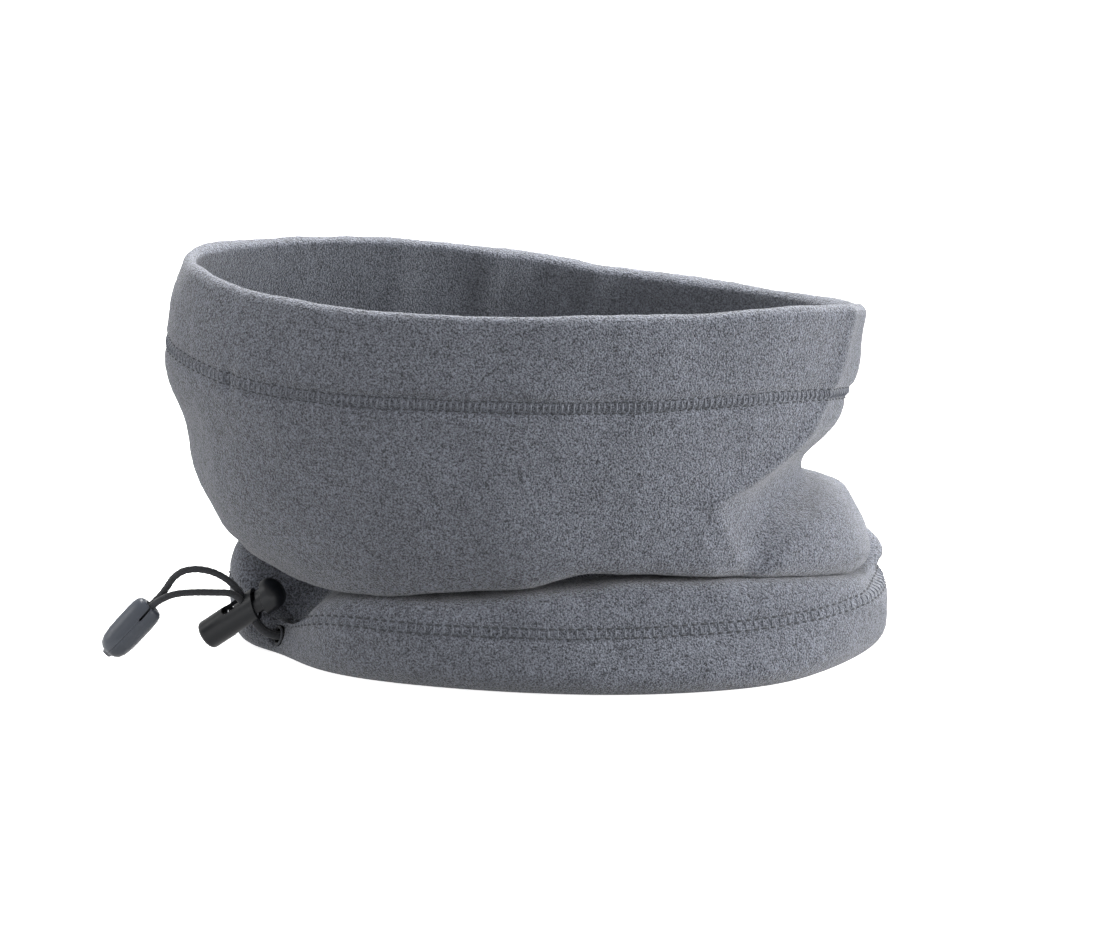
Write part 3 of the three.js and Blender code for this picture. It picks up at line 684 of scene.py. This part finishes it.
def thread_material(name, dark, light, scale):
    """Spun thread or braid: fine light and dark fibres."""
    material, tree, shader = new_material(name, 0.8, sheen=0.2)
    where = tree.nodes.new("ShaderNodeTexCoord")
    fibres = node_with(tree, "ShaderNodeTexNoise", Scale=scale, Detail=3.0)
    tree.links.new(where.outputs["Object"], fibres.inputs["Vector"])
    ramp = two_tone(tree, 0.35, dark, 0.65, light)
    tree.links.new(fibres.outputs["Fac"], ramp.inputs["Fac"])
    tree.links.new(ramp.outputs["Color"], shader.inputs["Base Color"])
    return material


# ---- Solids ----
def turned(name, outline, material, sides=64):
    """A round solid from its outline of (radius, height) points, turned about Z."""
    turns = np.linspace(0, 2 * math.pi, sides, endpoint=False)
    vertices = [(r * math.cos(t), r * math.sin(t), z) for r, z in outline for t in turns]
    return new_mesh(name, vertices, capped_faces(len(outline), sides), material)


def cut(piece, tool, solver="EXACT"):
    """Takes a tool's volume away from a piece, and removes the tool."""
    modifier = piece.modifiers.new("cut", "BOOLEAN")
    modifier.operation = "DIFFERENCE"
    modifier.object = tool
    modifier.solver = solver
    settle(piece)
    bpy.data.objects.remove(tool)


def settle(piece):
    """Applies a piece's modifiers to its mesh."""
    shown = piece.evaluated_get(bpy.context.evaluated_depsgraph_get())
    mesh = bpy.data.meshes.new_from_object(shown)
    piece.modifiers.clear()
    piece.data = mesh


def rounded(piece, width):
    """Rounds a piece's sharp edges."""
    modifier = piece.modifiers.new("edges", "BEVEL")
    modifier.width = width
    modifier.segments = 2
    modifier.angle_limit = math.radians(35)
    modifier.harden_normals = True
    settle(piece)
    return piece


def placed(piece, matrix):
    """Moves, turns or scales a piece's mesh."""
    piece.data.transform(matrix)
    return piece


def frame_along(direction, sideways, origin):
    """The placement that takes +Z to a direction, with +X kept near another."""
    z = Vector(direction).normalized()
    x = (Vector(sideways) - z * z.dot(sideways)).normalized()
    turn = Matrix((x, z.cross(x), z)).transposed().to_4x4()
    return Matrix.Translation(origin) @ turn


def tube(name, path, radius, material, sides=12, shape=None):
    """A capped tube along a path. shape(turn, along) scales its radius."""
    path = np.asarray(path, float)
    tangents = unit(np.gradient(path, axis=0))
    side = unit(np.cross(tangents[0], (0.31, 0.2, 0.93)))
    along = lengths_along(path)
    turns = np.linspace(0, 2 * math.pi, sides, endpoint=False)
    rings = []
    for spot, tangent, length in zip(path, tangents, along):
        side = unit(side - tangent * np.dot(side, tangent))
        other = np.cross(tangent, side)
        scale = shape(turns, length) if shape else np.ones(sides)
        ring = np.outer(np.cos(turns) * scale, side) + np.outer(np.sin(turns) * scale, other)
        rings.append(spot + radius * ring)
    return new_mesh(name, np.concatenate(rings), capped_faces(len(path), sides), material)


def braid(turn, along):
    """The radius of a braided cord: two sets of strands that cross."""
    one = np.abs(np.cos(2 * turn + along * 1500))
    other = np.abs(np.cos(2 * turn - along * 1500))
    return 0.93 + 0.09 * np.maximum(one, other)


def resampled(points, spacing):
    """A smooth line through a few points, as many points an even spacing apart."""
    places = np.linspace(0, len(points) - 1, 20 * len(points))
    line = smooth_line(points, places)
    length = lengths_along(line)
    wanted = np.linspace(0, length[-1], round(length[-1] / spacing) + 1)
    return smooth_line(points, np.interp(wanted, length, places))


def slot_tool(material, low, high, width, corner):
    """A flat-sided slot with round corners, along the cord's way through the lock."""
    side = width / 2 - corner
    corners = ((side, low + corner, -90), (side, high - corner, 0))
    corners += ((-side, high - corner, 90), (-side, low + corner, 180))
    outline = []
    for x, z, start in corners:
        for step in range(7):
            turn = math.radians(start + 15 * step)
            outline.append((x + corner * math.cos(turn), z + corner * math.sin(turn)))
    vertices = []
    for x in (-TOOL_REACH, TOOL_REACH):
        vertices += [(x, y, z + SLOT_SLOPE * x) for y, z in outline]
    tool = new_mesh("slot", vertices, capped_faces(2, len(outline)), material, smooth=False)
    return placed(tool, Matrix.Rotation(SLOT_TURN, 4, "Z"))


def slanted_block(material, height, side):
    """A block that covers everything above (side 1) or below (side -1) the lock's slanted plane."""
    half = 0.02
    far = side * 0.04
    vertices = []
    for x in (-half, half):
        for y in (-half, half):
            vertices.append((x, y, height + RIM_SLOPE * x))
            vertices.append((x, y, height + RIM_SLOPE * x + far))
    faces = [(0, 2, 6, 4), (1, 5, 7, 3), (0, 1, 3, 2), (4, 6, 7, 5), (0, 4, 5, 1), (2, 3, 7, 6)]
    faces = [f[::-1] for f in faces] if side < 0 else faces
    return new_mesh("block", vertices, faces, material, smooth=False)


def lock_barrel(material):
    """The barrel: a closed round end, a slanted mouth and a window across it."""
    r, bore, edge = BARREL["radius"], BARREL["bore"], BARREL["edge"]
    top = BARREL["length"] + 0.004  # above the slanted mouth's highest point
    outline = [(r - edge, 0)]
    for turn in (20, 45, 70):
        a = math.radians(turn)
        outline.append((r - edge + edge * math.sin(a), edge - edge * math.cos(a)))
    outline += [(r, edge), (r, top), (bore, top), (bore, BARREL["floor"])]
    barrel = turned("lock_barrel_shell", outline, material)
    cut(barrel, slanted_block(material, BARREL["length"], 1))
    cut(barrel, slot_tool(material, **BARREL_WINDOW))
    return rounded(barrel, 0.00022)


def lock_plunger(material):
    """The plunger's slotted stem, and the domed button on it."""
    stem_outline = [(PLUNGER["radius"], PLUNGER["low"]), (PLUNGER["radius"], BUTTON["low"] + 0.001)]
    stem = turned("plunger_stem", stem_outline, material)
    cut(stem, slot_tool(material, **PLUNGER_SLOT))
    head_outline = [(BUTTON["radius"], BUTTON["low"] - 0.003)]
    rise = BUTTON["high"] - BUTTON["shoulder"]
    for turn in np.arange(12) / 12 * math.pi / 2:
        radius = BUTTON["radius"] * math.cos(turn)
        head_outline.append((radius, BUTTON["shoulder"] + rise * math.sin(turn)))
    head = turned("plunger_button", head_outline, material)
    cut(head, slanted_block(material, BUTTON["low"], -1))
    return rounded(stem, 0.0002), rounded(head, 0.0002)


def lock_spring(material):
    """The coil between the barrel's floor and the plunger."""
    turns = np.linspace(0, 2 * math.pi * SPRING["turns"], SPRING["turns"] * 28)
    across = SPRING["radius"] * np.cos(turns), SPRING["radius"] * np.sin(turns)
    coil = np.stack([*across, np.linspace(SPRING["low"], SPRING["high"], len(turns))], axis=-1)
    return tube("return_spring", coil, SPRING["wire"], material, sides=8)


def ridged(piece, length):
    """Raises a low ridge along the front and the back of the cord end."""
    for vertex in piece.data.vertices:
        near = max(0, 1 - abs(vertex.co.x) / (0.5 * END_HALF_WIDTH))
        along = math.sin(math.pi * min(1, max(0, vertex.co.z / length)))
        vertex.co.y += math.copysign(END_RIDGE * near, vertex.co.y) * along


def box_tool(centre, size):
    """A box for cutting."""
    bpy.ops.mesh.primitive_cube_add(size=1, location=centre)
    tool = bpy.context.active_object
    tool.scale = size
    return tool


def cord_end_half(name, side, material):
    """One half of the cord end, hollow for the knot and slotted at its mouth. side is -1 or 1."""
    length = (END_TIP - END_TOP).length
    outline = [(max(share, 0.02), along * length) for share, along in LOZENGE]
    half = turned(name, outline, material, sides=72)
    placed(half, Matrix.Diagonal((END_HALF_WIDTH, END_HALF_DEPTH, 1, 1)))
    ridged(half, length)
    low, high = END_CAVITY["low"], END_CAVITY["high"]
    cavity_outline = [(0.05, low - 0.0005), (1, low + 0.001), (1, high - 0.002), (0.05, high)]
    cavity = turned("cavity", cavity_outline, material, sides=32)
    cut(half, placed(cavity, Matrix.Diagonal((END_CAVITY["half_x"], END_CAVITY["half_y"], 1, 1))))
    mouth = turned("mouth", [(1, -0.002), (1, low + 0.003)], material, sides=32)
    cut(half, placed(mouth, Matrix.Diagonal((*END_MOUTH, 1, 1))))
    cut(half, box_tool((side * (END_SPLIT / 2 - 0.01), 0, 0.01), (0.02, 0.02, 0.04)))
    slot_size = (END_SLOT["width"], 2 * END_SLOT["depth"], 2 * END_SLOT["length"])
    cut(half, box_tool((0, END_HALF_DEPTH, 0), slot_size))
    return half


# ---- The scene ----
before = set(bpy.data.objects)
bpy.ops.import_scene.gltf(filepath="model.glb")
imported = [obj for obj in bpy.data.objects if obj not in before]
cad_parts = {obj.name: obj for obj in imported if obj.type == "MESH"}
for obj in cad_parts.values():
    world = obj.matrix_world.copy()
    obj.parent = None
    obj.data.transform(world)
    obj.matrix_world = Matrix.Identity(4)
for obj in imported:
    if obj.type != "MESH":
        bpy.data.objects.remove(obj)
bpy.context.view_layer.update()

fleece = pile_material("fleece", grey(34, 36, 42), grey(122, 126, 137))
fleece_inside = pile_material("fleece_inside", grey(46, 48, 54), grey(100, 104, 113))
# The dark thread is partly the thread's own colour and partly painted shade for the pits where the
# stitches dive into the cloth.
thread = thread_material("thread", grey(34, 36, 41), grey(58, 61, 67), 2500)
thread_light = thread_material("thread_light", grey(78, 81, 88), grey(112, 116, 125), 2500)
cord_braid = thread_material("cord_braid", grey(12, 13, 16), grey(34, 36, 42), 2200)
plastic_black = plastic_material("lock_plastic", grey(16, 18, 22), 0.38)
plastic_grey = plastic_material("cord_end_plastic", grey(66, 70, 78), 0.33)
steel, _, _ = new_material("spring_steel", 0.25, metallic=1.0, color=grey(205, 207, 210))

cad_looks = {
    "upper_wall": fleece, "lower_wall": fleece, "top_hem_facing": fleece_inside,
    "channel_facing": fleece_inside, "side_seam": fleece_inside, "drawcord": cord_braid,
    "top_stitch_upper": thread, "top_stitch_lower": thread, "channel_stitch_upper": thread,
    "channel_stitch_lower": thread, "cord_exit_binding": thread, "lock_barrel": plastic_black,
    "lock_plunger": plastic_black, "lock_spring": steel, "cord_end_upper": plastic_grey,
    "cord_end_lower": plastic_grey, "cord_knot": cord_braid, "exit_strand_near": cord_braid,
    "exit_strand_far": cord_braid, "loop_strand_near": cord_braid, "loop_strand_far": cord_braid,
}
for name, look in cad_looks.items():
    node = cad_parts[name]
    node.data.materials.clear()
    node.data.materials.append(look)

tube_piece, face, place = fleece_tube(fleece, fleece_inside)
hole = Matrix.Translation(EXIT_HOLE) @ EXIT_AXIS.to_track_quat("Z", "Y").to_matrix().to_4x4()
drill = turned("drill", [(EXIT_RADIUS, -0.0035), (EXIT_RADIUS, 0.0035)], fleece, sides=32)
cut(tube_piece, placed(drill, hole), solver="MANIFOLD")
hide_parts("upper_wall", "lower_wall", "top_hem_facing", "channel_facing")
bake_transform(tube_piece)

seam = seam_allowance(face, place, fleece_inside)
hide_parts("side_seam")

angles = np.linspace(0, 2 * math.pi, STEPS_ROUND, endpoint=False)
cloth = (face, place)
# The stitch rows take the dark thread, partly painted shade of the stitch pits; the ladder takes the
# light thread.
threads_used = (thread, thread_light)
top_rows = [wave(angles, *RIM_WAVE) - depth for depth in TOP_STITCH_DEPTHS]
top_stitching = coverstitch(
    "top_stitch", cloth, (0, FOLD_STATION - 2), top_rows, threads_used, **TOP_STITCH
)
channel_rows = [height * hollow_squash(angles, CHANNEL_DROP) for height in CHANNEL_STITCH_HEIGHTS]
channel_stitching = coverstitch(
    "channel_stitch", cloth, (FOLD_STATION + 2, FOOT_STATION - 1), channel_rows, threads_used,
    **CHANNEL_STITCH,
)
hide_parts("top_stitch_upper", "top_stitch_lower")
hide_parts("channel_stitch_upper", "channel_stitch_lower")
for piece in (seam, *top_stitching, *channel_stitching):
    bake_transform(piece)

binding = placed(exit_binding(thread), hole)
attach(binding, "hem")
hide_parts("cord_exit_binding")

strands = {}
for name, route in ROUTES.items():
    path = resampled(route, STRAND_STEP)
    strand = tube(f"{name}_braid", path, CORD_RADIUS, cord_braid, sides=16, shape=braid)
    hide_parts(name)
    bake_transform(strand)
    strands[name] = (strand, path)

barrel = lock_barrel(plastic_black)
stem, button = lock_plunger(plastic_black)
spring = lock_spring(steel)
for piece in (barrel, stem, button, spring):
    placed(piece, frame_along(LOCK_AXIS, (0, 0, 1), LOCK_END))
for piece, body, node in (
    (barrel, "lock", "lock_barrel"),
    (stem, "button", "lock_plunger"),
    (button, "button", "lock_plunger"),
):
    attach(piece, body)
    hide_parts(node)
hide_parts("lock_spring")
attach(spring, "lock")
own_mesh(spring)

halves = []
for node, name, side in (
    ("cord_end_upper", "cord_end_shell_upper", -1),
    ("cord_end_lower", "cord_end_shell_lower", 1),
):
    half = cord_end_half(name, side, plastic_grey)
    placed(half, frame_along(END_TIP - END_TOP, (0.7, 0, -0.7), END_TOP))
    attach(half, "cord_end")
    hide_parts(node)
    halves.append(half)

for name, fitting in (
    ("loop_strand_near", [halves[0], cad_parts["cord_knot"]]),
    ("loop_strand_far", [halves[1]]),
):
    strand, path = strands[name]

# ---- Floor, light and camera ----
bpy.ops.mesh.primitive_plane_add(size=6, location=(0, 0, 0))
floor = bpy.context.active_object
floor.name = "floor"
floor_look, _, floor_shader = new_material("floor", 0.9, color=(0.8, 0.8, 0.8))
floor_shader.inputs["Emission Color"].default_value = (1, 1, 1, 1)
floor_shader.inputs["Emission Strength"].default_value = 0.75
floor.data.materials.append(floor_look)
floor.visible_diffuse = False

world = bpy.data.worlds.new("studio")
world.use_nodes = True
sky = world.node_tree
sky.nodes["Background"].inputs["Strength"].default_value = 1.0
way = sky.nodes.new("ShaderNodeTexCoord")
upwards = sky.nodes.new("ShaderNodeSeparateXYZ")
shades = two_tone(sky, 0.0, (0.30, 0.30, 0.30), 0.02, (1, 1, 1))  # darker below the horizon
sky.links.new(way.outputs["Generated"], upwards.inputs["Vector"])
sky.links.new(upwards.outputs["Z"], shades.inputs["Fac"])
sky.links.new(shades.outputs["Color"], sky.nodes["Background"].inputs["Color"])
bpy.context.scene.world = world


def area_light(name, location, size, power):
    """A square lamp that faces the camera's target."""
    light = bpy.data.lights.new(name, "AREA")
    light.energy = power
    light.size = size
    lamp = bpy.data.objects.new(name, light)
    lamp.location = location
    lamp.rotation_euler = (TARGET - Vector(location)).to_track_quat("-Z", "Y").to_euler()
    bpy.context.scene.collection.objects.link(lamp)


area_light("softbox_right", (1.2, -0.25, 0.35), 0.5, 23)
area_light("softbox_left", (-1.2, -0.2, 0.5), 0.7, 6)
area_light("softbox_back", (0.1, 0.7, 1.3), 0.8, 50)

camera_data = bpy.data.cameras.new("camera")
camera_data.lens = LENS
camera_data.sensor_width = 36
camera = bpy.data.objects.new("camera", camera_data)
camera.location = TARGET + CAMERA_DISTANCE * Vector(
    (0, -math.cos(CAMERA_ELEVATION), math.sin(CAMERA_ELEVATION))
)
camera.rotation_euler = (TARGET - camera.location).to_track_quat("-Z", "Y").to_euler()
bpy.context.scene.collection.objects.link(camera)
bpy.context.scene.camera = camera
bpy.context.scene.view_settings.view_transform = "Standard"
